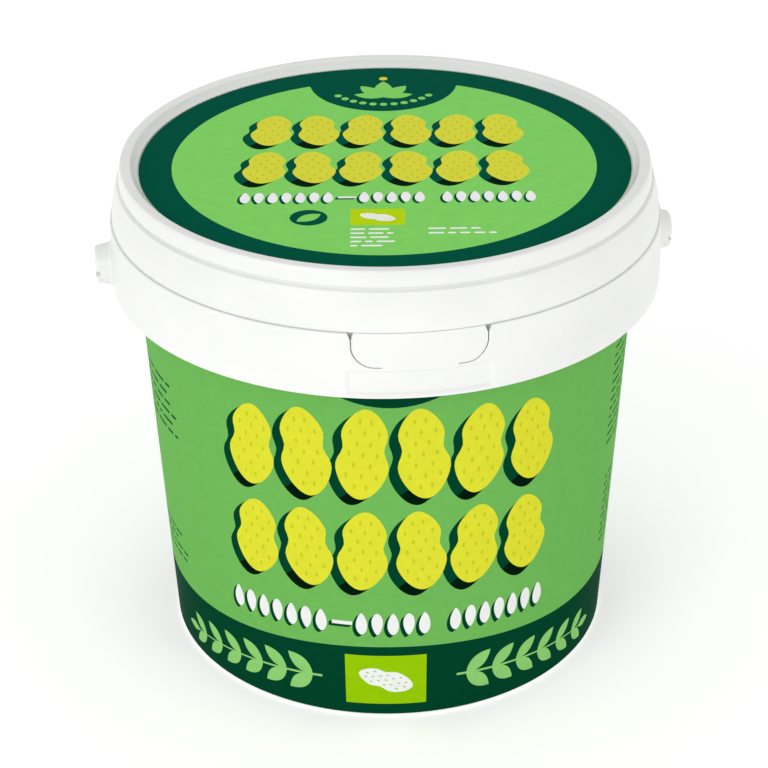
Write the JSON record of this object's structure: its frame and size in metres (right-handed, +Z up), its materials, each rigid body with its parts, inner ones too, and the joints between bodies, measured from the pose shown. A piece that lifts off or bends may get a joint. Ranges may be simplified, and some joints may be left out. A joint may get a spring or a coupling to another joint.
{
  "type": "peanut butter tub with press-on lid",
  "caption": "Tapered round plastic tub of nut butter with a hanging collar, press-on lid, tear flap, side lugs and printed films.",
  "frame": {"origin": "middle of the base, on the plane that the tub stands on", "axes": "+Z up along the tub's axis, -Y towards the middle of the print, +X to its right"},
  "size_m": [0.1398, 0.1323, 0.125],
  "materials": {
    "white_plastic": "injection-moulded white polypropylene with a soft sheen and a faint flow texture",
    "body_print": "in-mould printed film in mid green, with dark green, yellow, white and lime fields",
    "lid_print": "in-mould printed film in light green, with a dark green border and yellow, white and lime fields"
  },
  "bodies": {
    "root": {"pail": "white_plastic", "lid": "white_plastic", "body_label": "body_print", "lid_label": "lid_print"}
  },
  "joints": []
}
